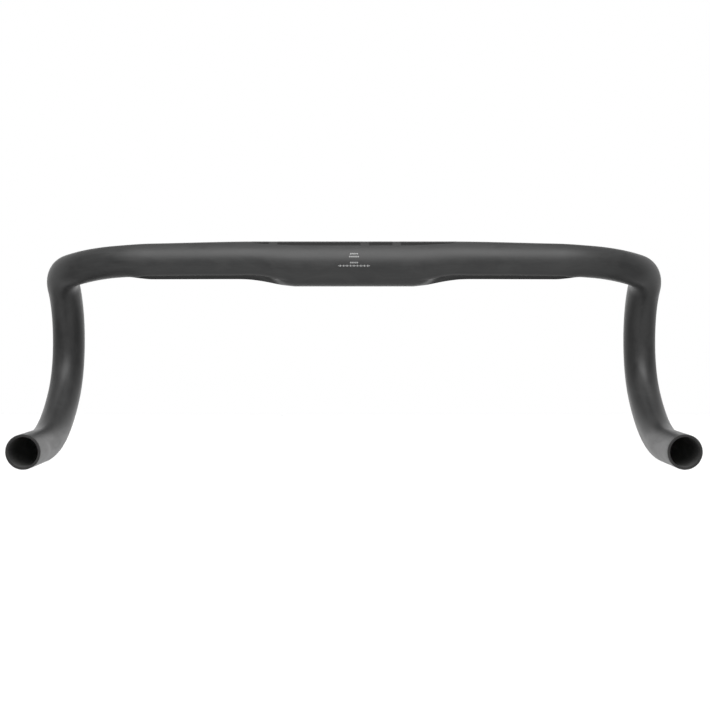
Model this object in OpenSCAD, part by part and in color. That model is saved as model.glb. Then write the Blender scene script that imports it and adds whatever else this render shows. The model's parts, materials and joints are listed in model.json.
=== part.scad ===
// Road-bicycle drop handlebar: oval, cable-grooved tops and compact hooks, moulded in three lengths.
// Frame: origin at the centre of the stem clamp, +X to the rider's right, +Y forward, +Z up. Millimetres.
// Distances called s run along the bar's centre line from the middle of the clamp zone.

/* [Clamp zone] */
// Diameter of the round zone that the stem closes on.
clamp_d = 31.8; // [31.8:0.1:32.4]
// Width of that round zone, along the bar.
clamp_w = 84; // [78:1:86]
// Wall of the moulding in the clamp zone.
clamp_wall = 2.4; // [2.2:0.1:2.8]
// Wall of the bonded reinforcement inside the clamp zone.
core_wall = 1.2; // [0.8:0.1:2]
// Length of that reinforcement.
core_len = 76; // [50:1:76]

/* [Tops] */
// Fore-and-aft depth of the oval grip section.
tops_depth = 29; // [28:0.5:30]
// Lowest point of the oval section below the clamp axis.
tops_low = 10.8; // [10.4:0.1:11.2]
// How far the tube's centre line runs above the clamp axis.
tops_rise = 2.4; // [2:0.1:2.8]
// Wall of the oval section.
tops_wall = 2; // [1.8:0.1:2.2]
// Distance s at which the shoulder bend starts.
bend_start = 145.5; // [142:0.5:150]

/* [Cable groove] */
// Depth of the cable groove in the underside of the tops.
groove_depth = 5; // [4:0.5:5.5]
// Rear edge of the groove, behind the centre line, next to the clamp zone.
groove_rear = 9.6; // [9:0.2:10]
// How far that edge comes forward along the grip, and once more before the shoulder.
groove_narrows = 1.6; // [0.8:0.1:1.8]
// Front edge of the groove, ahead of the centre line.
groove_front = 1.6; // [1:0.2:2.2]

/* [Drops] */
// Outer diameter of the round tube.
tube_d = 23.8; // [23.6:0.1:24]
// Wall of the round tube.
tube_wall = 1.8; // [1.6:0.1:2]
// Centre-line radius of the shoulder, from the tops towards the brake levers.
shoulder_r = 76; // [70:1:82]
// Heading of the shoulder where it meets the tighter bend, measured from straight out to the side.
shoulder_turn = 52; // [48:1:56]
// Downward slope of the shoulder at that point.
shoulder_dip = 8.5; // [6:0.5:11]
// Centre-line radius of the bend into the lever ramp.
corner_r = 36; // [33:1:40]
// Downward slope of the ramp where the hook starts.
ramp_angle = 38; // [34:1:42]
// Centre-line radius of the hook under the lever.
hook_top_r = 59; // [55:1:63]
// Angle turned by that part of the hook.
hook_top_turn = 54.5; // [50:0.5:58]
// Centre-line radius of the middle of the hook.
hook_mid_r = 47.5; // [44:0.5:52]
// Angle turned by the middle of the hook.
hook_mid_turn = 41; // [37:0.5:45]
// Centre-line radius of the last part of the hook.
hook_low_r = 108; // [100:1:115]
// Length of the straight end.
end_len = 50; // [44:1:58]
// Outward flare of the drops.
flare = 1.5; // [0:0.5:4]
// Toe-in of the ramp: how far it points inward, going forward.
toe = 1.8; // [0:0.2:3]
// Slope of the straight ends, down towards the rider.
end_slope = 1.6; // [0:0.2:4]

/* [Joints] */
// How far round the shoulder, along the bar, the drop meets the centre section.
joint_past = 30; // [28:1:36]
// Length of the sleeve bonded inside each joint.
sleeve_len = 26; // [20:1:26]
// Wall of that sleeve.
sleeve_wall = 1.6; // [1.2:0.1:2]
// Bond gap between each inner sleeve and the tube around it.
bond_gap = 0.15; // [0.12:0.01:0.2]

/* [Printed marks] */
// Thickness of the printed film.
film = 0.05; // [0.04:0.01:0.06]
// Half length of the dark band along the top of the bar.
band_half = 67; // [60:1:70]
// Angle of the band's edges from straight up.
band_edge = 36; // [20:1:40]
// Width of the bare gaps between the lengths of the band.
band_gap = 6; // [3:0.5:7]
// Number of ticks in the centring scale.
scale_ticks = 19; // [11:2:21]
// Distance between the ticks.
scale_pitch = 1.2; // [1:0.1:1.4]

/* [Hidden] */
$fn = 64;

// Colours.
body_black = [0.08, 0.08, 0.085];
core_grey = [0.30, 0.30, 0.32];
sleeve_grey = [0.22, 0.22, 0.24];
band_black = [0.03, 0.03, 0.035];
mark_white = [0.75, 0.75, 0.75];

// Radii.
clamp_r = clamp_d / 2;
clamp_in_r = clamp_r - clamp_wall;
tube_r = tube_d / 2;
tube_in_r = tube_r - tube_wall;

// General helpers.
function unit(v) = v / norm(v);
function rad(a) = a * PI / 180;
function degrees(length, r) = length / rad(1) / r;
function turn_between(a, b) = acos(unit(a) * unit(b));
function mix(a, b, k) = a + (b - a) * k;
function ramp01(a, b, x) = min(1, max(0, (x - a) / (b - a)));
function ease(k) = k * k * (3 - 2 * k);

// A bend is a list: start point, start heading, direction towards its centre, radius, angle turned.
function bend_point(b, a) = b[0] + b[3] * (sin(a) * b[1] + (1 - cos(a)) * b[2]);
function bend_heading(b, a) = cos(a) * b[1] + sin(a) * b[2];
function bend_inward(b, a) = cos(a) * b[2] - sin(a) * b[1];
function bend_to(p, t, u, r) = [p, t, unit(u - t * (t * u)), r, turn_between(t, u)];
function next_bend(b, r, a) = [bend_point(b, b[4]), bend_heading(b, b[4]), bend_inward(b, b[4]), r, a];

// Headings on the right-hand side.
ahead = [-sin(toe), cos(toe), 0];
down_raw = [sin(flare), 0, -cos(flare)];
down = unit(down_raw - ahead * (ahead * down_raw));
level_out = [cos(shoulder_turn), sin(shoulder_turn), 0];
shoulder_out = cos(shoulder_dip) * level_out - [0, 0, sin(shoulder_dip)];
ramp_out = cos(ramp_angle) * ahead + sin(ramp_angle) * down;
ramp_in = cos(ramp_angle) * down - sin(ramp_angle) * ahead;
hook_low_turn = 180 - end_slope - ramp_angle - hook_top_turn - hook_mid_turn;

// The bends, in order from the tops to the bar end.
shoulder = bend_to([bend_start, 0, tops_rise], [1, 0, 0], shoulder_out, shoulder_r);
corner = bend_to(bend_point(shoulder, shoulder[4]), shoulder_out, ramp_out, corner_r);
hook_top = [bend_point(corner, corner[4]), ramp_out, ramp_in, hook_top_r, hook_top_turn];
hook_mid = next_bend(hook_top, hook_mid_r, hook_mid_turn);
hook_low = next_bend(hook_mid, hook_low_r, hook_low_turn);

// The lengths of round tube slip this far into each other's walls, at this small step in radius.
slip = 0.4;
slip_step = 0.08;

// Where the oval has become round, and where the mouldings meet.
round_s = bend_start + 15.5;
joint_s = bend_start + joint_past;
joint_at = degrees(joint_past, shoulder_r);

// Height of the top and underside of the oval relative to the tube's centre line, and half its depth.
clamp_edge = clamp_w / 2;
low_settled = 76;
top_leaves = 80;
low_leaves = 142;
depth_leaves = 96;
clamp_top = clamp_r - tops_rise;
clamp_low = -clamp_r - tops_rise;
oval_low = -tops_low - tops_rise;
function fall(k) = 0.7 * ease(k) + 0.3 * (1 - (1 - k) * (1 - k));
function top_at(s) = mix(clamp_top, tube_r, ease(ramp01(top_leaves, round_s, s)));
function low_at(s) = s < depth_leaves
    ? mix(clamp_low, oval_low, fall(ramp01(clamp_edge, low_settled, s))) - run_out_extra(s)
    : mix(oval_low - grip_extra(s), -tube_r, ease(ramp01(low_leaves, round_s, s)));
function depth_at(s) = s < depth_leaves
    ? mix(clamp_r, tops_depth / 2, ease(ramp01(clamp_edge, low_settled, s)))
    : mix(tops_depth / 2, tube_r, ease(ramp01(depth_leaves, round_s, s)));

// How much fuller the underside is than that: where the groove runs out beside the clamp zone, rising
// over the first pair of stations and falling over the second, and more and more along the grip.
run_out_belly = 0.4;
belly_rises = [clamp_edge + 2, 53];
belly_falls = [68, 82];
grip_belly = 0.2;
grip_belly_ends = 150;
function along(span, s) = ramp01(span[0], span[1], s);
function run_out_extra(s) = run_out_belly * ease(along(belly_rises, s)) * (1 - ease(along(belly_falls, s)));
function grip_extra(s) = grip_belly * ramp01(depth_leaves, grip_belly_ends, s);

// Share of its full depth that the groove has, with a run-out at each end.
groove_full = 72;
groove_fades = 150;
groove_on = clamp_edge + 3;
function groove_at(s) =
    ease(ramp01(groove_on, groove_full, s)) * (1 - ease(ramp01(groove_fades, round_s, s)));

// How far behind the centre line the groove reaches. It narrows over two stretches of the grip, and
// then to its end.
first_narrowing = [60, 85];
second_narrowing = [110, 146];
groove_end_reach = 4.4;
function groove_reach(s) =
    let (narrowed = ease(along(first_narrowing, s)) + along(second_narrowing, s))
    mix(groove_rear - groove_narrows * narrowed, groove_end_reach,
        ease(ramp01(second_narrowing[1], round_s, s)));

// Wall thickness.
wall_settled = 60;
function wall_at(s) = mix(clamp_wall, tops_wall, ramp01(clamp_edge, wall_settled, s))
    + (tube_wall - tops_wall) * ramp01(low_leaves, round_s, s);

// A section is a closed outline: over the oval from the groove's front edge to its rear edge, then the
// groove's roof. Each point is [forward, up] from the tube's centre line.
oval_points = 33;
roof_points = 13;
outline_points = oval_points + roof_points;
roof_square = 0.8;
function oval(a, b, mid, h) = [b * cos(a), mid + h * sin(a)];
function roof(k, rear, front) =
    let (c = cos(180 * k),
         across = (1 + sign(c) * pow(abs(c), roof_square)) / 2,
         rise = groove_depth * pow(max(0, sin(180 * k)), roof_square))
    mix(front, rear, across) + [0, rise];
function outline(b, top, low, groove, reach, widen) =
    let (mid = (top + low) / 2,
         h = (top - low) / 2,
         a0 = -90 + asin(min(1, (groove_front + widen) / b)),
         a1 = 270 - asin(min(1, (reach + widen) / b)),
         rear = oval(a1, b, mid, h),
         front = oval(a0, b, mid, h))
    concat([for (i = [0 : oval_points - 1]) oval(mix(a0, a1, i / (oval_points - 1)), b, mid, h)],
           [for (i = [1 : roof_points])
               let (k = i / (roof_points + 1))
               mix(oval(mix(a1, a0 + 360, k), b, mid, h), roof(k, rear, front), groove)]);

// Put an outline's points square to the centre line at s.
function place(points, s) =
    let (a = degrees(max(0, s - bend_start), shoulder_r),
         p = s < bend_start ? [s, 0, tops_rise] : bend_point(shoulder, a),
         t = s < bend_start ? [1, 0, 0] : bend_heading(shoulder, a),
         up = unit([0, 0, 1] - t * t[2]),
         fore = cross(up, t))
    [for (q = points) p + fore * q[0] + up * q[1]];

// The oval length starts just inside the clamp zone's wall, by these steps in radius.
step_out = 0.05;
step_in = 0.1;
// The groove is this much wider each side on the bore's outline, which keeps a wall beside it.
groove_side = 1.6;
function starts(s) = s == clamp_edge ? 1 : 0;
function outer_ring(s) =
    let (d = step_out * starts(s))
    place(outline(depth_at(s) - d, top_at(s) - d, low_at(s) + d, groove_at(s), groove_reach(s), 0), s);
function inner_ring(s) =
    let (d = wall_at(s) - step_in * starts(s))
    place(outline(depth_at(s) - d, top_at(s) - d, low_at(s) + d,
                  groove_at(s), groove_reach(s), groove_side * groove_at(s)), s);

// Stations of the rings, in runs of [first, step, limit]: closer where the shape changes.
outer_runs = [[clamp_edge, 2.5, low_settled], [82, 9, 132], [136, 3.5, round_s - 2],
              [round_s, 4.5, joint_s - 2]];
inner_runs = [[clamp_edge, 5, low_settled], [86, 24, 134], [140, 5, round_s - 2],
              [round_s, 4.5, joint_s - 2]];
function stations(runs) = concat([for (r = runs) each [for (s = [r[0] : r[1] : r[2]]) s]], [joint_s]);
outer_stations = stations(outer_runs);
inner_stations = stations(inner_runs);

// Two triangles for each point of each ring but the last. Flip turns the skin inside out.
function skin(first, rings, size, flip) =
    [for (i = [0 : rings - 2], j = [0 : size - 1])
        let (a = first + i * size + j, b = first + i * size + (j + 1) % size, c = a + size, d = b + size)
        each flip ? [[a, b, d], [a, d, c]] : [[a, d, b], [a, c, d]]];
function rim(outer, inner, size, flip) =
    [for (j = [0 : size - 1])
        let (k = (j + 1) % size, a = outer + j, b = outer + k, c = inner + j, d = inner + k)
        each flip ? [[a, d, b], [a, c, d]] : [[a, b, d], [a, d, c]]];

// Hollow oval length of the right-hand side, from the clamp zone to the shoulder joint.
module oval_length() {
    m = outline_points;
    outer = len(outer_stations);
    inner = len(inner_stations);
    first_in = outer * m;
    polyhedron(
        points = concat([for (s = outer_stations) each outer_ring(s)],
                        [for (s = inner_stations) each inner_ring(s)]),
        faces = concat(skin(0, outer, m, false), skin(first_in, inner, m, true), rim(0, first_in, m, false),
                       rim((outer - 1) * m, first_in + (inner - 1) * m, m, true)),
        convexity = 10);
}

// A hollow round length along a bend, from one angle to another.
module bend_tube(b, from, to, r_out, r_in) {
    n = bend_inward(b, from);
    t = bend_heading(b, from);
    up = cross(-n, t);
    c = bend_point(b, from) + b[3] * n;
    multmatrix([[-n[0], t[0], up[0], c[0]],
                [-n[1], t[1], up[1], c[1]],
                [-n[2], t[2], up[2], c[2]],
                [0, 0, 0, 1]])
        rotate_extrude(angle = to - from)
            translate([b[3], 0])
                difference() {
                    circle(r = r_out);
                    circle(r = r_in);
                }
}

// A hollow cylinder along +Z.
module ring(length, r_out, r_in) {
    difference() {
        cylinder(h = length, r = r_out);
        translate([0, 0, -1])
            cylinder(h = length + 2, r = r_in);
    }
}

// The straight end that follows a bend.
module straight_after(b, length, r_out, r_in) {
    p = bend_point(b, b[4]);
    t = bend_heading(b, b[4]);
    n = bend_inward(b, b[4]);
    side = cross(t, n);
    multmatrix([[n[0], side[0], t[0], p[0]],
                [n[1], side[1], t[1], p[1]],
                [n[2], side[2], t[2], p[2]],
                [0, 0, 0, 1]])
        ring(length, r_out, r_in);
}

// A whole bend that slips into the lengths before and after it.
thin_out = tube_r - slip_step;
thin_in = tube_in_r + slip_step;
module thin_tube(b) {
    past = degrees(slip, b[3]);
    bend_tube(b, -past, b[4] + past, thin_out, thin_in);
}

// One drop: shoulder, corner, three-part hook and straight end.
module drop() {
    bend_tube(shoulder, joint_at, shoulder[4] + degrees(slip, shoulder_r), thin_out, thin_in);
    bend_tube(corner, 0, corner[4], tube_r, tube_in_r);
    thin_tube(hook_top);
    bend_tube(hook_mid, 0, hook_mid[4], tube_r, tube_in_r);
    thin_tube(hook_low);
    straight_after(hook_low, end_len, tube_r, tube_in_r);
}

// The sleeve that lines up and bonds a shoulder joint.
module joint_sleeve() {
    reach = degrees(sleeve_len / 2, shoulder_r);
    r_out = tube_in_r - bond_gap;
    bend_tube(shoulder, joint_at - reach, joint_at + reach, r_out, r_out - sleeve_wall);
}

// A print on the clamp zone's rear: centred at x, from height z0 to z1.
module rear_print(x, width, z0, z1) {
    a0 = asin(z0 / clamp_r);
    a1 = asin(z1 / clamp_r);
    translate([x - width / 2, 0, 0])
        rotate([0, 90, 0])
            rotate([0, 0, 270 - a1])
                rotate_extrude(angle = a1 - a0)
                    translate([clamp_r, 0])
                        square([film, width]);
}

// One length of the dark band, from x0 to x1, following the top of the bar.
lift = 0.02;
band_columns = 13;
band_row_pitch = 2.5;
// The half angle falls along a curve from where the band tapers to its rounded ends.
band_tapers = 44;
band_end_share = 0.02;
band_bluntness = 0.7;
function band_half_angle(x) =
    let (out = ramp01(band_tapers, band_half, abs(x)))
    band_edge * pow(mix(1, band_end_share, out * out), band_bluntness);
function band_row(x, raise) =
    let (s = max(abs(x), clamp_edge),
         top = top_at(s) + tops_rise,
         low = low_at(s) + tops_rise,
         f = band_half_angle(x))
    [for (i = [0 : band_columns - 1])
        let (a = 90 + mix(-f, f, i / (band_columns - 1)),
             q = oval(a, depth_at(s) + raise, (top + low) / 2, (top - low) / 2 + raise))
        [x, q[0], q[1]]];
module band_length(x0, x1) {
    rows = max(2, ceil((x1 - x0) / band_row_pitch));
    xs = [for (i = [0 : rows]) mix(x0, x1, i / rows)];
    loops = [for (x = xs) concat(band_row(x, lift + film), [for (i = [1 : band_columns])
                band_row(x, lift)[band_columns - i]])];
    m = 2 * band_columns;
    last = rows * m;
    start_cap = [for (j = [0 : band_columns - 2]) each [[j, j + 1, m - 2 - j], [j, m - 2 - j, m - 1 - j]]];
    end_cap = [for (f = start_cap) [f[2] + last, f[1] + last, f[0] + last]];
    polyhedron(points = [for (loop = loops) each loop],
               faces = concat(skin(0, rows + 1, m, false), start_cap, end_cap), convexity = 4);
}

module centre_section() {
    color(body_black)
        union() {
            translate([-clamp_edge, 0, 0])
                rotate([0, 90, 0])
                    ring(clamp_w, clamp_r, clamp_in_r);
            oval_length();
            mirror([1, 0, 0])
                oval_length();
        }
}

module clamp_core() {
    r_out = clamp_in_r - bond_gap;
    color(core_grey)
        translate([-core_len / 2, 0, 0])
            rotate([0, 90, 0])
                ring(core_len, r_out, r_out - core_wall);
}

module right_drop() {
    color(body_black)
        drop();
}

module left_drop() {
    color(body_black)
        mirror([1, 0, 0])
            drop();
}

module right_joint_sleeve() {
    color(sleeve_grey)
        joint_sleeve();
}

module left_joint_sleeve() {
    color(sleeve_grey)
        mirror([1, 0, 0])
            joint_sleeve();
}

// Plain dark film in four lengths.
band_breaks = [-57, 7.5, 30];
module top_band() {
    cuts = concat([-band_half - band_gap / 2], band_breaks, [band_half + band_gap / 2]);
    color(band_black)
        for (i = [0 : len(cuts) - 2])
            band_length(cuts[i] + band_gap / 2, cuts[i + 1] - band_gap / 2);
}

// Plain bars and a centring scale, with no lettering.
bar_height = 0.9;
tick_height = 0.9;
tick_width = 0.5;
bars = [[6, 6.3], [7, 4.3], [6, 0.1]];
scale_z = -2.1;
module centre_marks() {
    color(mark_white) {
        for (b = bars)
            rear_print(0, b[0], b[1] - bar_height / 2, b[1] + bar_height / 2);
        for (i = [0 : scale_ticks - 1])
            rear_print((i - (scale_ticks - 1) / 2) * scale_pitch, tick_width,
                       scale_z - tick_height / 2, scale_z + tick_height / 2);
    }
}

centre_section();
clamp_core();
left_drop();
right_drop();
left_joint_sleeve();
right_joint_sleeve();
top_band();
centre_marks();
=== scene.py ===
"""Looks of a drop handlebar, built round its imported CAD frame.

Metres, +X to the rider's right, +Y forward, +Z up, origin at the centre of the stem clamp.
The mouldings are lofted again from the part's dimensions, finer than the CAD's faces and a little
closer to the photographed outline, and those on the left mirror those on the right. Distances called
s run along the bar's centre line from the clamp's middle.
"""

import json
import math

import bmesh
import bpy
import numpy as np
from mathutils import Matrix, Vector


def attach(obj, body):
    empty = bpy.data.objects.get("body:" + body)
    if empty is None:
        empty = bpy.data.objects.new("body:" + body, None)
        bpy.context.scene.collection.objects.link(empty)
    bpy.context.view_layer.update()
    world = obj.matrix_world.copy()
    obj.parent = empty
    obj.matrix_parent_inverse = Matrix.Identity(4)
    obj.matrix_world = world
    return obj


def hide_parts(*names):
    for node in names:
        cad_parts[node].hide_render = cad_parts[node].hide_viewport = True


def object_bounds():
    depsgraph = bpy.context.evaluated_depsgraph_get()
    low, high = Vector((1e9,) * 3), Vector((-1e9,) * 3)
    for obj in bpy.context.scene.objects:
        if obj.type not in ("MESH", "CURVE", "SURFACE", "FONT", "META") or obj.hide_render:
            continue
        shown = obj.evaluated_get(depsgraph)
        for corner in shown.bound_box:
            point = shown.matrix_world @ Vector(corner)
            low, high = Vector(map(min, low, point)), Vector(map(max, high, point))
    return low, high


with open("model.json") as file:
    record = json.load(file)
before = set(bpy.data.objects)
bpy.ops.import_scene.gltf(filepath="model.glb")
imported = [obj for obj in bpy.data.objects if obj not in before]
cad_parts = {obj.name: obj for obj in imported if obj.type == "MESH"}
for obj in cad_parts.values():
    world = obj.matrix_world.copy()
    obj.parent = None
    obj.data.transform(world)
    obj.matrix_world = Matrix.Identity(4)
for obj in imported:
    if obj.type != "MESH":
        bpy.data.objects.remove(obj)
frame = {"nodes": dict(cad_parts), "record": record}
cad_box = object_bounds()

# ---------------------------------------------------------------- dimensions, in millimetres and degrees
MM = 0.001
MICRON = 0.000001
MOUNTS = {m["name"]: m for m in frame["record"]["mounts"]}
CLAMP_R = MOUNTS["stem_clamp"]["dims"]["r_mm"]
CLAMP_EDGE = MOUNTS["stem_clamp"]["dims"]["length_mm"] / 2
TUBE_R = MOUNTS["right_end_tube"]["dims"]["r_mm"]
BORE_R = MOUNTS["right_end_bore"]["dims"]["r_mm"]
END_LEN = MOUNTS["right_end_tube"]["dims"]["length_mm"]

# Walls of the clamp zone, of the rest of the tops, and of the drops.
CLAMP_WALL = 2.4
TOPS_WALL = 2.0
TUBE_WALL = TUBE_R - BORE_R

# The tubes' centre line runs this far above the clamp's axis.
TOPS_RISE = 2.4
# The grip's oval: its depth fore and aft, and its underside below the clamp's axis.
TOPS_DEPTH = 29.0
TOPS_LOW = 10.8
# The underside is this much fuller beside the clamp zone, and this much lower at the grip's end.
RUN_OUT_DROP = 0.4
GRIP_DROP = 0.2
# The shoulder is flattened by this much, on top and underneath.
SHOULDER_FLAT = 0.55

# The groove's depth, and its edges ahead of the centre line and behind it.
GROOVE_DEPTH = 5.0
GROOVE_FRONT = 1.6
GROOVE_REAR = 9.6
# How far the rear edge comes forward, in each of two places, and the groove's width at its closed end.
GROOVE_NARROWS = 1.6
GROOVE_TIP = 1.5
# The wall at the groove's sides, and the shape of its roof: 1 is an ellipse, and less is squarer.
GROOVE_SIDE = 1.6
GROOVE_SQUARE = 0.8
# The groove's lips are rounded over this width of the oval, and over this share of the roof.
LIP = 0.5
LIP_SHARE = 0.018

# The shoulder turns forward and dips. The corner turns it down into the ramp of the hook.
SHOULDER_R = 76.0
SHOULDER_TURN = 52.0
SHOULDER_DIP = 8.5
CORNER_R = 36.0
RAMP_ANGLE = 38.0
# The hook's three arcs: radius and turn of the first two, and radius of the last.
HOOK_TOP = (59.0, 54.5)
HOOK_MID = (47.5, 41.0)
HOOK_LOW_R = 108.0
# How far the drops lean outward and turn inward, and how steeply the straight ends fall to the rear.
FLARE = 1.5
TOE = 1.8
END_SLOPE = 1.6

# ---------------------------------------------------------------- places along the bar, as distances s
BEND_START = 145.5
# The oval has become the round tube, apart from the shoulder's flattening and the groove's last bit.
ROUND_S = BEND_START + 15.5
# The bonded joint between the tops and a drop.
JOINT_S = BEND_START + 30.0
# The clamp zone has run out into the full oval.
OVAL_FULL = 76.0
# The oval's top, depth and underside start to change to the round tube's.
TOP_LEAVES = 70.0
DEPTH_LEAVES = 96.0
LOW_LEAVES = 142.0
# The underside has fallen by all of GRIP_DROP.
GRIP_DROP_END = 150.0
# The clamp zone's thicker wall ends, and the drops' thinner wall starts.
CLAMP_WALL_END = 60.0
TUBE_WALL_START = 138.0
# The groove's rear edge comes forward twice, and then closes on the front edge.
FIRST_NARROWING = (60.0, 85.0)
SECOND_NARROWING = (110.0, 146.0)
GROOVE_CLOSES = 144.0
GROOVE_END = 164.0
# Local changes: each starts, is full, starts to leave, and is gone.
RUN_OUT = (CLAMP_EDGE + 2, 53.0, 68.0, 82.0)
FLAT_ABOVE = (141.0, 168.0, 198.0, 235.0)
FLAT_BELOW = (152.0, 163.0, 170.0, 205.0)
GROOVE_RUN = (CLAMP_EDGE + 3, 72.0, 152.0, GROOVE_END)
# Where a highlight is painted along the groove's rear lip.
LIP_HIGHLIGHT_RUN = (CLAMP_EDGE + 2, 52.0, 150.0, GROOVE_END)


# ---------------------------------------------------------------- small helpers
def unit(v):
    return v / np.linalg.norm(v)


def mix(a, b, k):
    return a + (b - a) * k


def ramp01(a, b, x):
    """0 up to a, 1 from b on, and even between them."""
    return min(1.0, max(0.0, (x - a) / (b - a)))


def ease(k):
    return k * k * (3 - 2 * k)


def sind(a):
    return math.sin(math.radians(a))


def cosd(a):
    return math.cos(math.radians(a))


def spread(first, last, step):
    """Evenly spaced numbers from first to last, about step apart."""
    count = max(1, round((last - first) / step))
    return [mix(first, last, i / count) for i in range(count + 1)]


# ---------------------------------------------------------------- centre line of the right-hand side
def bend_to(point, heading, new_heading, radius):
    """A bend from one heading to another: start, heading, direction to its centre, radius and angle."""
    inward = unit(new_heading - heading * (heading @ new_heading))
    return point, heading, inward, radius, math.acos(heading @ new_heading)


def bend_at(bend, angle):
    """Point, heading and direction to the centre, that angle into a bend."""
    start, heading, inward, radius, _ = bend
    c, s = math.cos(angle), math.sin(angle)
    point = start + radius * (s * heading + (1 - c) * inward)
    return point, c * heading + s * inward, c * inward - s * heading


def following(bend, radius, degrees):
    """A bend in the same plane that starts where the last one ends."""
    return (*bend_at(bend, bend[4]), radius, math.radians(degrees))


def right_bends():
    """Shoulder, corner and the hook's three arcs, in order from the tops."""
    along_x = np.array([1.0, 0.0, 0.0])
    ahead = np.array([-sind(TOE), cosd(TOE), 0.0])
    down = np.array([sind(FLARE), 0.0, -cosd(FLARE)])
    down = unit(down - ahead * (ahead @ down))
    shoulder_out = cosd(SHOULDER_DIP) * np.array([cosd(SHOULDER_TURN), sind(SHOULDER_TURN), 0.0])
    shoulder_out[2] -= sind(SHOULDER_DIP)
    ramp_out = cosd(RAMP_ANGLE) * ahead + sind(RAMP_ANGLE) * down
    ramp_in = cosd(RAMP_ANGLE) * down - sind(RAMP_ANGLE) * ahead
    low_turn = 180 - END_SLOPE - RAMP_ANGLE - HOOK_TOP[1] - HOOK_MID[1]
    shoulder = bend_to(np.array([BEND_START, 0.0, TOPS_RISE]), along_x, shoulder_out, SHOULDER_R)
    corner = bend_to(bend_at(shoulder, shoulder[4])[0], shoulder_out, ramp_out, CORNER_R)
    corner_end = bend_at(corner, corner[4])[0]
    hook_top = (corner_end, ramp_out, ramp_in, HOOK_TOP[0], math.radians(HOOK_TOP[1]))
    hook_mid = following(hook_top, *HOOK_MID)
    hook_low = following(hook_mid, HOOK_LOW_R, low_turn)
    return [shoulder, corner, hook_top, hook_mid, hook_low]


BENDS = right_bends()
BENDS_END = BEND_START + sum(radius * angle for *_, radius, angle in BENDS)
BAR_END = BENDS_END + END_LEN


def centre_line(s):
    """Point and heading at distance s on the right-hand side."""
    if s <= BEND_START:
        return np.array([s, 0.0, TOPS_RISE]), np.array([1.0, 0.0, 0.0])
    left = s - BEND_START
    for bend in BENDS:
        radius, angle = bend[3:]
        if left <= radius * angle:
            return bend_at(bend, left / radius)[:2]
        left -= radius * angle
    point, heading, _ = bend_at(BENDS[-1], BENDS[-1][4])
    return point + heading * left, heading


# ---------------------------------------------------------------- sections
FALL_EASED = 0.7
OVAL_POINTS, LIP_POINTS, ROOF_POINTS = 76, 5, 30
RING = OVAL_POINTS + 2 * LIP_POINTS + ROOF_POINTS
# How strongly a highlight is painted on the groove's rear edge, at the oval's last two points and at the
# lip's own five.
LIP_HIGHLIGHT_WEIGHTS = (0.4, 1.0, 1.0, 1.0, 0.9, 0.7, 0.4)


def fall(k):
    """From 0 to 1, a blend of a change eased at both ends and one that is quick at first."""
    return mix(1 - (1 - k) ** 2, ease(k), FALL_EASED)


def hump(s, rise, full, leave, end):
    """0 up to rise, 1 from full to leave, and 0 again from end."""
    return ease(ramp01(rise, full, s)) * (1 - ease(ramp01(leave, end, s)))


def top_at(s):
    """Height of the section's top over the centre line."""
    unflattened = mix(CLAMP_R - TOPS_RISE, TUBE_R, ease(ramp01(TOP_LEAVES, ROUND_S, s)))
    return unflattened - SHOULDER_FLAT * hump(s, *FLAT_ABOVE)


def low_at(s):
    """Height of the section's underside over the centre line, which is negative."""
    grip = -TOPS_LOW - TOPS_RISE
    if s < DEPTH_LEAVES:
        run_out = mix(-CLAMP_R - TOPS_RISE, grip, fall(ramp01(CLAMP_EDGE, OVAL_FULL, s)))
        return run_out - RUN_OUT_DROP * hump(s, *RUN_OUT)
    grip -= GRIP_DROP * ramp01(DEPTH_LEAVES, GRIP_DROP_END, s)
    unflattened = mix(grip, -TUBE_R, ease(ramp01(LOW_LEAVES, ROUND_S, s)))
    return unflattened + SHOULDER_FLAT * hump(s, *FLAT_BELOW)


def depth_at(s):
    """Half the section's depth fore and aft."""
    if s < DEPTH_LEAVES:
        return mix(CLAMP_R, TOPS_DEPTH / 2, ease(ramp01(CLAMP_EDGE, OVAL_FULL, s)))
    return mix(TOPS_DEPTH / 2, TUBE_R, ease(ramp01(DEPTH_LEAVES, ROUND_S, s)))


def groove_at(s):
    """Share of its full depth that the groove has."""
    return hump(s, *GROOVE_RUN)


def groove_rear_at(s):
    """How far behind the centre line the groove's rear edge is. It closes on the front edge."""
    narrowings = ease(ramp01(*FIRST_NARROWING, s)) + ramp01(*SECOND_NARROWING, s)
    reach = GROOVE_REAR - GROOVE_NARROWS * narrowings
    return mix(reach, GROOVE_TIP - GROOVE_FRONT, ease(ramp01(GROOVE_CLOSES, GROOVE_END, s)))


def wall_at(s):
    tops = mix(CLAMP_WALL, TOPS_WALL, ramp01(CLAMP_EDGE, CLAMP_WALL_END, s))
    return tops + (TUBE_WALL - TOPS_WALL) * ramp01(TUBE_WALL_START, ROUND_S, s)


def oval(a, b, mid, h):
    """Forward and up of the point at angle a on an oval with half sizes b and h, whose middle is at mid."""
    return np.array([b * math.cos(a), mid + h * math.sin(a)])


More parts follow.
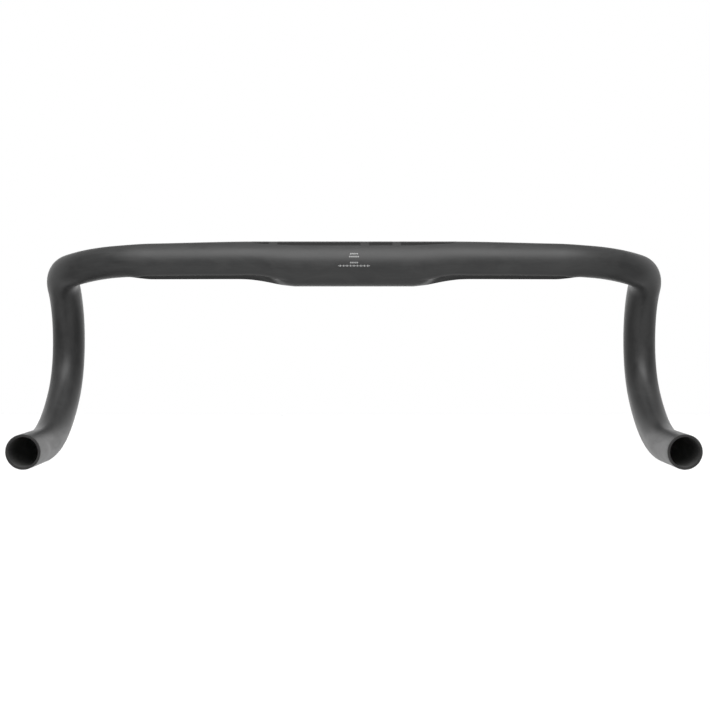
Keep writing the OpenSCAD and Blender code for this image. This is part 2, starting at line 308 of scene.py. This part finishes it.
def outline(b, top, low, groove, reach, widen):
    """Closed section as forward and up points: over the oval from the groove's front edge to its rear
    edge, then round the groove's rear lip, along its roof and round its front lip."""
    mid, h = (top + low) / 2, (top - low) / 2
    a0 = -math.pi / 2 + math.asin(min(1.0, (GROOVE_FRONT + widen) / b))
    a1 = 1.5 * math.pi - math.asin(min(1.0, (reach + widen) / b))
    rear, front = oval(a1, b, mid, h), oval(a0, b, mid, h)
    off = LIP / b

    def roof(k):
        c = math.cos(math.pi * k)
        across = (1 + math.copysign(abs(c) ** GROOVE_SQUARE, c)) / 2
        rise = GROOVE_DEPTH * math.sin(math.pi * k) ** GROOVE_SQUARE
        cut = mix(front, rear, across) + np.array([0.0, rise])
        return mix(oval(mix(a1, a0 + 2 * math.pi, k), b, mid, h), cut, groove)

    def lip(p, corner, q):
        ks = [(i + 1) / (LIP_POINTS + 1) for i in range(LIP_POINTS)]
        return [(1 - k) ** 2 * p + 2 * k * (1 - k) * corner + k * k * q for k in ks]

    over = [oval(mix(a0 + off, a1 - off, i / (OVAL_POINTS - 1)), b, mid, h) for i in range(OVAL_POINTS)]
    under = [roof(mix(LIP_SHARE, 1 - LIP_SHARE, i / (ROOF_POINTS - 1))) for i in range(ROOF_POINTS)]
    return np.array(over + lip(over[-1], rear, under[0]) + under + lip(under[-1], front, over[0]))


def outer_outline(s):
    return outline(depth_at(s), top_at(s), low_at(s), groove_at(s), groove_rear_at(s), 0.0)


def inner_outline(s):
    d = wall_at(s)
    side = GROOVE_SIDE * groove_at(s)
    return outline(depth_at(s) - d, top_at(s) - d, low_at(s) + d, groove_at(s), groove_rear_at(s), side)


def lip_highlight(s):
    """How much highlight is painted at each point of an outer section. Only the groove's rear lip isn't 0."""
    tone = np.zeros(RING)
    first = OVAL_POINTS - 2
    tone[first:first + len(LIP_HIGHLIGHT_WEIGHTS)] = LIP_HIGHLIGHT_WEIGHTS
    return tone * hump(s, *LIP_HIGHLIGHT_RUN)


# ---------------------------------------------------------------- lofting
# A moulding's materials, by their places in its list.
OUTSIDE, INSIDE, CUT = 0, 1, 2
# Edges sharper than this many degrees stay sharp, on mouldings and on printed films.
MOULDING_SHARP = 35.0
FILM_SHARP = 50.0


def frames_along(stations):
    """Point, forward and up for each station. The section's up stays up as far as the shoulder joint,
    and is carried along the bar without twisting after it."""
    frames = []
    for s in stations:
        point, heading = centre_line(s)
        if s <= JOINT_S:
            up = np.array([0.0, 0.0, 1.0])
        up = unit(up - heading * (heading @ up))
        frames.append((point, np.cross(up, heading), up))
    return frames


def ring_points(points, placed, mirror):
    """A section's points in the frame that it is placed in, mirrored for the left side."""
    point, fore, up = placed
    ring = point + np.outer(points[:, 0], fore) + np.outer(points[:, 1], up)
    if mirror:
        ring = ring * np.array([-1.0, 1.0, 1.0])
    return ring


class Loft:
    """Rings of equal size joined into one closed tube wall. Each point keeps its place on the bar as
    bar_space: distance along it, forward and up. A second attribute marks the groove's rear lip, where a
    highlight is painted."""

    def __init__(self):
        self.rings, self.spaces, self.tones, self.slots = [], [], [], []

    def add(self, points, placed, s, slot, mirror=False):
        """One more ring. Its slot is for the faces between it and the next ring."""
        # The outside carries a painted highlight along the groove's rear lip.
        self.tones.append(lip_highlight(s) if slot == OUTSIDE else np.zeros(len(points)))
        self.rings.append(ring_points(points, placed, mirror))
        along = np.full((len(points), 1), -s if mirror else s)
        self.spaces.append(np.hstack([along, points]))
        self.slots.append(slot)

    def build(self, name, materials):
        """The piece, with its last ring joined to its first."""
        count, size = len(self.rings), len(self.rings[0])
        faces, slots = [], []
        for i in range(count):
            a, b = i * size, ((i + 1) % count) * size
            for j in range(size):
                k = (j + 1) % size
                faces.append((a + j, a + k, b + k, b + j))
                slots.append(self.slots[i])
        mesh = bpy.data.meshes.new(name)
        mesh.from_pydata((np.vstack(self.rings) * MM).tolist(), [], faces)
        space = mesh.attributes.new("bar_space", "FLOAT_VECTOR", "POINT")
        space.data.foreach_set("vector", (np.vstack(self.spaces) * MM).astype(np.float32).ravel())
        # Per point, how much highlight is painted on the groove's rear lip.
        tone = mesh.attributes.new("painted_lip_highlight", "FLOAT", "POINT")
        tone.data.foreach_set("value", np.hstack(self.tones).astype(np.float32))
        mesh.polygons.foreach_set("material_index", slots)
        return finish_mesh(name, mesh, materials, MOULDING_SHARP)


def finish_mesh(name, mesh, materials, sharp):
    """Outward normals, smooth faces, sharp edges over that angle, and an object riding on the bar."""
    bm = bmesh.new()
    bm.from_mesh(mesh)
    bmesh.ops.recalc_face_normals(bm, faces=bm.faces)
    limit = math.radians(sharp)
    for edge in bm.edges:
        edge.smooth = edge.calc_face_angle(0.0) < limit
    for face in bm.faces:
        face.smooth = True
    bm.to_mesh(mesh)
    bm.free()
    for material in materials:
        mesh.materials.append(material)
    obj = bpy.data.objects.new(name, mesh)
    bpy.context.scene.collection.objects.link(obj)
    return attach(obj, "root")


# ---------------------------------------------------------------- mouldings
RIM_ROUND = 0.35
RIM_STEPS = 4
# Where the spacing of the tops' sections changes, and the spacing of each stretch outside and inside.
TOPS_STRETCHES = (0.0, CLAMP_EDGE, 80.0, 138.0, JOINT_S)
TOPS_OUTER_STEPS = (2.0, 0.8, 1.8, 1.0)
TOPS_INNER_STEPS = (6.0, 2.0, 4.0, 2.0)
# The same for a drop: its bends, and then its straight end.
DROP_STRETCHES = (JOINT_S, BENDS_END, BAR_END - RIM_ROUND)
DROP_OUTER_STEPS = (1.5, 3.0)
DROP_INNER_STEPS = (3.0, 6.0)


def spaced(stretches, steps):
    """Distances s over several stretches, each with its own spacing."""
    stations = [stretches[0]]
    for first, last, step in zip(stretches, stretches[1:], steps):
        stations += spread(first, last, step)[1:]
    return stations


def build_centre_section(materials):
    """The moulded tops, from one shoulder joint to the other, with the clamp zone and both grooves."""
    loft = Loft()

    def run(stations, section, slot, backward):
        placed = frames_along(stations)
        path = [(i, True) for i in range(len(stations) - 1, 0, -1)]
        path += [(i, False) for i in range(len(stations))]
        if backward:
            path.reverse()
        for i, mirror in path:
            loft.add(section(stations[i]), placed[i], stations[i], slot, mirror)
        loft.slots[-1] = CUT

    run(spaced(TOPS_STRETCHES, TOPS_OUTER_STEPS), outer_outline, OUTSIDE, False)
    run(spaced(TOPS_STRETCHES, TOPS_INNER_STEPS), inner_outline, INSIDE, True)
    return loft.build("centre_section_skin", materials)


def build_drop(side, materials):
    """One drop, from its shoulder joint to the open end: shoulder, corner, hook and straight end."""
    mirror = side == "left"
    loft = Loft()
    outer = spaced(DROP_STRETCHES, DROP_OUTER_STEPS)
    outer_frames = frames_along(outer)
    for s, placed in zip(outer, outer_frames):
        loft.add(outer_outline(s), placed, s, OUTSIDE, mirror)

    edge_s = outer[-1]
    point, fore, up = outer_frames[-1]
    heading = centre_line(edge_s)[1]

    def rim_ring(points, radius, growth, angle):
        scale = 1 + growth * RIM_ROUND * (1 - math.cos(angle)) / radius
        out = RIM_ROUND * math.sin(angle)
        loft.add(points * scale, (point + heading * out, fore, up), edge_s + out, CUT, mirror)

    # The rim: outer edge rounded, cut face, inner edge rounded.
    angles = [math.pi / 2 * (i + 1) / RIM_STEPS for i in range(RIM_STEPS)]
    for angle in angles:
        rim_ring(outer_outline(BAR_END), TUBE_R, -1, angle)
    for angle in reversed(angles):
        rim_ring(inner_outline(BAR_END), BORE_R, 1, angle)

    inner = spaced(DROP_STRETCHES, DROP_INNER_STEPS)
    for s, placed in reversed(list(zip(inner, frames_along(inner)))):
        loft.add(inner_outline(s), placed, s, INSIDE, mirror)
    loft.slots[-1] = CUT
    return loft.build(side + "_drop_skin", materials)


# ---------------------------------------------------------------- printed films
# How thick the band is, and how far its underside is over the bar's surface.
BAND_THICK = 0.05
BAND_LIFT = 0.02
# How far the marks' undersides and tops are over the clamp zone's surface.
MARK_LOW = 0.005
MARK_HIGH = 0.05
# The band's half length, and where it starts to taper and to round off at each end.
BAND_HALF, BAND_TAPERS, BAND_ROUNDS = 72.5, 42.0, 65.0
# The middles of the band's bare gaps, and their width.
BAND_BREAKS = (-57.0, 7.5, 30.0)
BAND_GAP = 6.0
# Degrees from the top to the band's edges, along its middle and where it starts to round off, and the
# share of that angle which is left at its very end.
BAND_EDGE, BAND_TIP_EDGE = 37.2, 29.5
BAND_END_SHARE = 0.1
BAND_STEP = 0.5
BAND_COLUMNS = 33
# The middle print. Rows of dashes: how many, from one to the next, and height over the clamp's axis.
DASH_ROWS = ((4, 1.5, 6.3), (5, 1.45, 4.3), (4, 1.5, 0.1))
DASH_SHARE = 0.76
DASH_HALF = 0.48
# The scale: a tick in the middle and nine on each side. A tick is its width and half its height.
SCALE_Z = -2.1
SIDE_TICKS = 9
TICK_PITCH = 1.2
LONG_TICK = (1.0, 0.6)
SHORT_TICK = (0.5, 0.3)


def slab(lower, upper):
    """A closed thin film from two equal grids of points."""
    rows, columns = lower.shape[:2]
    co = np.vstack([lower.reshape(-1, 3), upper.reshape(-1, 3)]) * MM
    top = rows * columns
    faces = []
    for i in range(rows - 1):
        for j in range(columns - 1):
            a = i * columns + j
            faces.append((a, a + 1, a + columns + 1, a + columns))
            faces.append((a + top, a + columns + top, a + columns + 1 + top, a + 1 + top))
    loop = list(range(columns)) + [i * columns + columns - 1 for i in range(1, rows)]
    loop += [(rows - 1) * columns + j for j in range(columns - 2, -1, -1)]
    loop += [i * columns for i in range(rows - 2, 0, -1)]
    for a, b in zip(loop, loop[1:] + loop[:1]):
        faces.append((a, a + top, b + top, b))
    mesh = bpy.data.meshes.new("film")
    mesh.from_pydata(co.tolist(), [], faces)
    return mesh


def merge(name, meshes, materials):
    """One piece from several closed films."""
    bm = bmesh.new()
    for mesh in meshes:
        bm.from_mesh(mesh)
    merged = bpy.data.meshes.new(name)
    bm.to_mesh(merged)
    bm.free()
    for mesh in meshes:
        bpy.data.meshes.remove(mesh)
    return finish_mesh(name, merged, materials, FILM_SHARP)


def band_row(x, lift):
    """Points across the band, that far along the bar and over its surface."""
    s = max(abs(x), CLAMP_EDGE)
    top, low = top_at(s) + TOPS_RISE, low_at(s) + TOPS_RISE
    half = mix(BAND_EDGE, BAND_TIP_EDGE, ramp01(BAND_TAPERS, BAND_ROUNDS, abs(x)))
    rounding = ramp01(BAND_ROUNDS, BAND_HALF, abs(x))
    half *= math.sqrt(1 - (1 - BAND_END_SHARE ** 2) * rounding ** 2)
    row = []
    for i in range(BAND_COLUMNS):
        a = math.radians(90 + mix(-half, half, i / (BAND_COLUMNS - 1)))
        row.append((x, *oval(a, depth_at(s) + lift, (top + low) / 2, (top - low) / 2 + lift)))
    return row


def build_band(materials):
    """The plain dark film along the top of the bar, in four lengths with bare gaps between them. Toward
    both ends it gets narrower, and its tips are rounded."""
    cuts = [-BAND_HALF - BAND_GAP / 2, *BAND_BREAKS, BAND_HALF + BAND_GAP / 2]
    films = []
    for first, last in zip(cuts, cuts[1:]):
        xs = spread(first + BAND_GAP / 2, last - BAND_GAP / 2, BAND_STEP)
        lower = np.array([band_row(x, BAND_LIFT) for x in xs])
        upper = np.array([band_row(x, BAND_LIFT + BAND_THICK) for x in xs])
        films.append(slab(lower, upper))
    return merge("top_band_film", films, materials)


def mark_grid(x, z, width, half, lift):
    """Three rows of two points on the clamp zone's rear, round the middle of a mark at x, z."""
    radius = CLAMP_R + lift
    rows = []
    for dz in (-half, 0.0, half):
        a = math.asin((z + dz) / CLAMP_R)
        rows.append([(x + dx, -radius * math.cos(a), radius * math.sin(a)) for dx in (-width / 2, width / 2)])
    return np.array(rows)


def build_marks(materials):
    """Plain dashes and a centring scale on the clamp zone's rear, with no lettering."""
    marks = []
    for count, pitch, z in DASH_ROWS:
        for i in range(count):
            marks.append(((i - (count - 1) / 2) * pitch, z, pitch * DASH_SHARE, DASH_HALF))
    for i in range(-SIDE_TICKS, SIDE_TICKS + 1):
        width, half = SHORT_TICK if i % 2 else LONG_TICK
        marks.append((i * TICK_PITCH, SCALE_Z, width, half))
    films = [slab(mark_grid(*mark, MARK_LOW), mark_grid(*mark, MARK_HIGH)) for mark in marks]
    return merge("centre_marks_print", films, materials)


# ---------------------------------------------------------------- shader nodes
# Noise is mostly between these values, so a range is stretched from them.
NOISE_LOW, NOISE_HIGH = 0.3, 0.7


def new_material(name):
    """An empty material with its node tree and its shader."""
    material = bpy.data.materials.new(name)
    material.use_nodes = True
    tree = material.node_tree
    tree.nodes.clear()
    out = tree.nodes.new("ShaderNodeOutputMaterial")
    shader = tree.nodes.new("ShaderNodeBsdfPrincipled")
    tree.links.new(shader.outputs["BSDF"], out.inputs["Surface"])
    return material, tree, shader


def dress(tree, shader, colour, roughness, normal=None):
    """Links what a material is made of into its shader."""
    tree.links.new(colour, shader.inputs["Base Color"])
    tree.links.new(roughness, shader.inputs["Roughness"])
    if normal is not None:
        tree.links.new(normal, shader.inputs["Normal"])


def attribute(tree, name, output):
    """One output of a mesh attribute."""
    node = tree.nodes.new("ShaderNodeAttribute")
    node.attribute_name = name
    return node.outputs[output]


def vector_maths(tree, operation, vector, fixed=(0, 0, 0)):
    """A node that works on a linked vector and, where its operation takes two, a fixed one."""
    node = tree.nodes.new("ShaderNodeVectorMath")
    node.operation = operation
    node.inputs[1].default_value = fixed
    tree.links.new(vector, node.inputs[0])
    return node


def maths(tree, operation, value, other=None):
    """A node that works on a linked value and, where there is one, another linked value."""
    node = tree.nodes.new("ShaderNodeMath")
    node.operation = operation
    tree.links.new(value, node.inputs[0])
    if other is not None:
        tree.links.new(other, node.inputs[1])
    return node


def added(tree, a, b):
    return maths(tree, "ADD", a, b).outputs["Value"]


def bar_space(tree, scale):
    """The bar's own straightened coordinates, multiplied by scale (per metre)."""
    return vector_maths(tree, "MULTIPLY", attribute(tree, "bar_space", "Vector"), scale).outputs["Vector"]


def object_space(tree, scale):
    """The object's coordinates, multiplied by scale (per metre)."""
    place = tree.nodes.new("ShaderNodeTexCoord").outputs["Object"]
    return vector_maths(tree, "MULTIPLY", place, scale).outputs["Vector"]


def noise(tree, vector, detail, roughness, distortion=0.0):
    node = tree.nodes.new("ShaderNodeTexNoise")
    node.inputs["Scale"].default_value = 1.0
    node.inputs["Detail"].default_value = detail
    node.inputs["Roughness"].default_value = roughness
    node.inputs["Distortion"].default_value = distortion
    tree.links.new(vector, node.inputs["Vector"])
    return node.outputs["Fac"]


def ranged(tree, value, low, high, from_low=NOISE_LOW, from_high=NOISE_HIGH):
    """A value between from_low and from_high, made one between low and high."""
    node = tree.nodes.new("ShaderNodeMapRange")
    node.inputs["From Min"].default_value = from_low
    node.inputs["From Max"].default_value = from_high
    node.inputs["To Min"].default_value = low
    node.inputs["To Max"].default_value = high
    tree.links.new(value, node.inputs["Value"])
    return node.outputs["Result"]


def blended(tree, factor, dark, light):
    """A colour between two. The dark one may come from a node."""
    node = tree.nodes.new("ShaderNodeMix")
    node.data_type = "RGBA"
    if isinstance(dark, bpy.types.NodeSocket):
        tree.links.new(dark, node.inputs["A"])
    else:
        node.inputs["A"].default_value = (*dark, 1)
    node.inputs["B"].default_value = (*light, 1)
    tree.links.new(factor, node.inputs["Factor"])
    return node.outputs["Result"]


def bumped(tree, height, distance, strength, under=None):
    """A normal that follows a height, on top of another normal where one is given."""
    node = tree.nodes.new("ShaderNodeBump")
    node.inputs["Strength"].default_value = strength
    node.inputs["Distance"].default_value = distance
    tree.links.new(height, node.inputs["Height"])
    if under is not None:
        tree.links.new(under, node.inputs["Normal"])
    return node.outputs["Normal"]


# ---------------------------------------------------------------- materials
# Grey painted as a highlight along the groove's rear lip.
LIP_HIGHLIGHT_GREY = (0.07, 0.07, 0.07)
# Inside a tube the resin pales between these distances from the open end, to this share.
PALE_FROM, PALE_TO = 22.0, 80.0
PALE_SHARE = 0.85
# Thickness of one ply, in metres.
PLY = 150 * MICRON


def matte_carbon():
    """Satin black lacquer over carbon laminate: faint streaks along the fibres and soft mottle, and a painted
    highlight:
    a paler line on the groove's rear lip."""
    material, tree, shader = new_material("matte_black_carbon")
    streaks = noise(tree, bar_space(tree, (60, 900, 900)), detail=4.0, roughness=0.6)
    mottle = noise(tree, bar_space(tree, (38, 75, 75)), detail=5.0, roughness=0.62, distortion=0.6)
    grain = noise(tree, bar_space(tree, (2600, 2600, 2600)), detail=2.0, roughness=0.5)
    tone = added(tree, ranged(tree, mottle, -0.35, 1.05), ranged(tree, streaks, -0.05, 0.35))
    laminate = blended(tree, tone, dark=(0.024, 0.0242, 0.0245), light=(0.037, 0.0372, 0.0372))
    # The groove's rear lip is painted paler here, as a highlight.
    colour = blended(tree, attribute(tree, "painted_lip_highlight", "Fac"), dark=laminate, light=LIP_HIGHLIGHT_GREY)
    rough = added(tree, ranged(tree, mottle, 0.375, 0.495), ranged(tree, streaks, -0.015, 0.015))
    fibre = bumped(tree, streaks, 12 * MICRON, 0.6)
    dress(tree, shader, colour, rough, bumped(tree, grain, 4 * MICRON, 0.5, fibre))
    shader.inputs["Specular IOR Level"].default_value = 0.4
    return material


def bore_carbon():
    """The unpainted wall inside the tubes: sanded and dark at the mouth, and paler further in where the
    resin lies thick. It is a little wavy from the moulding bladder."""
    material, tree, shader = new_material("bore_carbon")
    waves = noise(tree, bar_space(tree, (110, 320, 320)), detail=3.0, roughness=0.5, distortion=0.8)
    grain = noise(tree, bar_space(tree, (300, 1800, 1800)), detail=3.0, roughness=0.6)
    apart = tree.nodes.new("ShaderNodeSeparateXYZ")
    tree.links.new(attribute(tree, "bar_space", "Vector"), apart.inputs[0])
    along = maths(tree, "ABSOLUTE", apart.outputs["X"]).outputs["Value"]
    deep = ranged(tree, along, 0.0, PALE_SHARE, (BAR_END - PALE_FROM) * MM, (BAR_END - PALE_TO) * MM)
    tone = added(tree, deep, ranged(tree, grain, 0.0, 0.15))
    colour = blended(tree, tone, dark=(0.06, 0.06, 0.059), light=(0.45, 0.446, 0.44))
    fine = bumped(tree, grain, 20 * MICRON, 0.6)
    dress(tree, shader, colour, ranged(tree, waves, 0.38, 0.58), bumped(tree, waves, 120 * MICRON, 0.7, fine))
    shader.inputs["Specular IOR Level"].default_value = 0.4
    return material


def cut_laminate():
    """The sawn and sanded edge of the laminate: thin plies round the tube."""
    material, tree, shader = new_material("cut_laminate")
    flat = vector_maths(tree, "MULTIPLY", attribute(tree, "bar_space", "Vector"), (0, 1, 1))
    radius = vector_maths(tree, "LENGTH", flat.outputs["Vector"])
    plies = maths(tree, "PINGPONG", radius.outputs["Value"])
    plies.inputs[1].default_value = PLY
    ply = ranged(tree, plies.outputs["Value"], 0.0, 0.6, 0.0, PLY)
    grain = noise(tree, object_space(tree, (2200, 2200, 2200)), detail=3.0, roughness=0.6)
    tone = added(tree, ply, ranged(tree, grain, 0.0, 0.4))
    colour = blended(tree, tone, dark=(0.011, 0.011, 0.011), light=(0.036, 0.0355, 0.035))
    dress(tree, shader, colour, ranged(tree, grain, 0.42, 0.6), bumped(tree, grain, 20 * MICRON, 0.5))
    shader.inputs["Specular IOR Level"].default_value = 0.3
    return material


def dark_film():
    """Smooth dark printed film, with a faint haze."""
    material, tree, shader = new_material("dark_film")
    haze = noise(tree, object_space(tree, (60, 60, 60)), detail=3.0, roughness=0.5)
    speck = noise(tree, object_space(tree, (3000, 3000, 3000)), detail=2.0, roughness=0.5)
    tone = ranged(tree, haze, 0.0, 1.0)
    colour = blended(tree, tone, dark=(0.0005, 0.0005, 0.0006), light=(0.0015, 0.0015, 0.0016))
    dress(tree, shader, colour, ranged(tree, haze, 0.28, 0.34), bumped(tree, speck, 3 * MICRON, 0.4))
    shader.inputs["Specular IOR Level"].default_value = 0.35
    return material


def pale_print():
    """Thin pale ink with a slightly uneven tone."""
    material, tree, shader = new_material("pale_print")
    uneven = noise(tree, object_space(tree, (1500, 1500, 1500)), detail=3.0, roughness=0.6)
    tone = ranged(tree, uneven, 0.0, 1.0)
    colour = blended(tree, tone, dark=(0.26, 0.26, 0.26), light=(0.38, 0.38, 0.38))
    dress(tree, shader, colour, ranged(tree, uneven, 0.45, 0.6))
    return material


def raw_carbon(name, wrap):
    """Unpainted laminate of the inner pieces, with bands of tow at wrap (per metre)."""
    material, tree, shader = new_material(name)
    wave = tree.nodes.new("ShaderNodeTexWave")
    wave.wave_type = "BANDS"
    wave.bands_direction = "DIAGONAL"
    wave.inputs["Scale"].default_value = 1.0
    wave.inputs["Distortion"].default_value = 1.2
    wave.inputs["Detail"].default_value = 2.0
    tree.links.new(object_space(tree, wrap), wave.inputs["Vector"])
    bands = wave.outputs["Fac"]
    grain = noise(tree, object_space(tree, (1400, 1400, 1400)), detail=3.0, roughness=0.6)
    tone = added(tree, ranged(tree, bands, 0.0, 0.6, 0.0, 1.0), ranged(tree, grain, 0.0, 0.4))
    colour = blended(tree, tone, dark=(0.012, 0.012, 0.012), light=(0.05, 0.05, 0.052))
    dress(tree, shader, colour, ranged(tree, grain, 0.35, 0.5), bumped(tree, bands, 40 * MICRON, 0.5))
    return material


def pale_floor():
    """An almost even off-white."""
    material, tree, shader = new_material("pale_floor")
    soft = noise(tree, object_space(tree, (1.5, 1.5, 1.5)), detail=2.0, roughness=0.5)
    tone = ranged(tree, soft, 0.0, 1.0)
    colour = blended(tree, tone, dark=(0.90, 0.90, 0.90), light=(0.93, 0.93, 0.93))
    tree.links.new(colour, shader.inputs["Base Color"])
    shader.inputs["Roughness"].default_value = 0.9
    shader.inputs["Specular IOR Level"].default_value = 0.1
    return material


# ---------------------------------------------------------------- stage, light and camera, in metres
FLOOR_DROP = 1.1
FLOOR_HALF = 30.0
SURROUND = 0.25
# Each soft light: azimuth round from the rider's side, elevation, full within, gone by, all in degrees,
# and strength.
LIGHTS = {
    "key": (0, 50, 0, 36, 4.6),
    "fill": (0, 15, 8, 34, 1.0),
    "floor_glow": (0, -60, 5, 60, 0.86),
    "overhead": (0, 90, 10, 40, 0.82),
    "backdrop": (180, 0, 10, 40, 1.05),
    "backdrop_foot": (180, -45, 10, 40, 0.3),
    "backdrop_left": (-135, 0, 12, 45, 0.73),
    "backdrop_right": (135, 0, 12, 45, 0.73),
}
CAMERA_AT = (0.0007, -1.1327, -0.0644)
LENS = 81.15


def build_floor():
    """A plain pale floor, well below the bar."""
    z = cad_box[0].z - FLOOR_DROP
    mesh = bpy.data.meshes.new("floor")
    h = FLOOR_HALF
    mesh.from_pydata([(-h, -h, z), (h, -h, z), (h, h, z), (-h, h, z)], [], [(0, 1, 2, 3)])
    mesh.materials.append(pale_floor())
    floor = bpy.data.objects.new("floor", mesh)
    bpy.context.scene.collection.objects.link(floor)
    # Only the camera sees the floor: the bar is lit by the studio alone.
    floor.visible_diffuse = False
    floor.visible_glossy = False
    floor.visible_shadow = False


def lobe(tree, direction, toward, inner, outer):
    """1 within inner degrees of toward, falling softly to 0 at outer degrees."""
    closeness = vector_maths(tree, "DOT_PRODUCT", direction, toward).outputs["Value"]
    node = tree.nodes.new("ShaderNodeMapRange")
    node.interpolation_type = "SMOOTHSTEP"
    node.inputs["From Min"].default_value = cosd(outer)
    node.inputs["From Max"].default_value = cosd(inner)
    tree.links.new(closeness, node.inputs["Value"])
    return node.outputs["Result"]


def build_light():
    """A plain studio: a dim even surround with broad soft lights in it. Seen directly it is plain white."""
    world = bpy.data.worlds.new("studio")
    bpy.context.scene.world = world
    world.use_nodes = True
    tree = world.node_tree
    tree.nodes.clear()
    direction = tree.nodes.new("ShaderNodeTexCoord").outputs["Generated"]
    strength = None
    for azimuth, elevation, inner, outer, peak in LIGHTS.values():
        level = cosd(elevation)
        toward = (level * sind(azimuth), -level * cosd(azimuth), sind(elevation))
        node = maths(tree, "MULTIPLY_ADD", lobe(tree, direction, toward, inner, outer))
        node.inputs[1].default_value = peak
        node.inputs[2].default_value = SURROUND
        if strength is not None:
            tree.links.new(strength, node.inputs[2])
        strength = node.outputs["Value"]
    lit = tree.nodes.new("ShaderNodeBackground")
    tree.links.new(strength, lit.inputs["Strength"])
    plain = tree.nodes.new("ShaderNodeBackground")
    plain.inputs["Strength"].default_value = 1.0
    for background in (lit, plain):
        background.inputs["Color"].default_value = (1, 1, 1, 1)
    path = tree.nodes.new("ShaderNodeLightPath")
    chosen = tree.nodes.new("ShaderNodeMixShader")
    tree.links.new(path.outputs["Is Camera Ray"], chosen.inputs["Fac"])
    tree.links.new(lit.outputs["Background"], chosen.inputs[1])
    tree.links.new(plain.outputs["Background"], chosen.inputs[2])
    out = tree.nodes.new("ShaderNodeOutputWorld")
    tree.links.new(chosen.outputs["Shader"], out.inputs["Surface"])
    view = bpy.context.scene.view_settings
    view.view_transform = "Standard"
    view.look = "None"


def build_camera():
    """A level camera behind the rider's side of the bar, a little below the clamp."""
    data = bpy.data.cameras.new("camera")
    data.sensor_width = 36.0
    data.lens = LENS
    data.clip_start, data.clip_end = 0.05, 100.0
    camera = bpy.data.objects.new("camera", data)
    camera.location = CAMERA_AT
    camera.rotation_euler = (math.pi / 2, 0, 0)
    bpy.context.scene.collection.objects.link(camera)
    bpy.context.scene.camera = camera


# ---------------------------------------------------------------- the scene
def build_bar():
    """The lofted mouldings and films in place of the CAD's, and looks for the inner pieces."""
    mouldings = [matte_carbon(), bore_carbon(), cut_laminate()]
    centre = build_centre_section(mouldings)
    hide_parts("centre_section")
    for side in ("left", "right"):
        drop = build_drop(side, mouldings)
        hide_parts(side + "_drop")
    band = build_band([dark_film()])
    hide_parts("top_band")
    marks = build_marks([pale_print()])
    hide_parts("centre_marks")
    wound = raw_carbon("wound_carbon", (500, 500, 500))
    laid = raw_carbon("laid_carbon", (700, -700, 700))
    for node, material in (("clamp_core", wound), ("left_joint_sleeve", laid), ("right_joint_sleeve", laid)):
        mesh = frame["nodes"][node].data
        mesh.materials.clear()
        mesh.materials.append(material)


build_camera()
build_light()
build_floor()
build_bar()
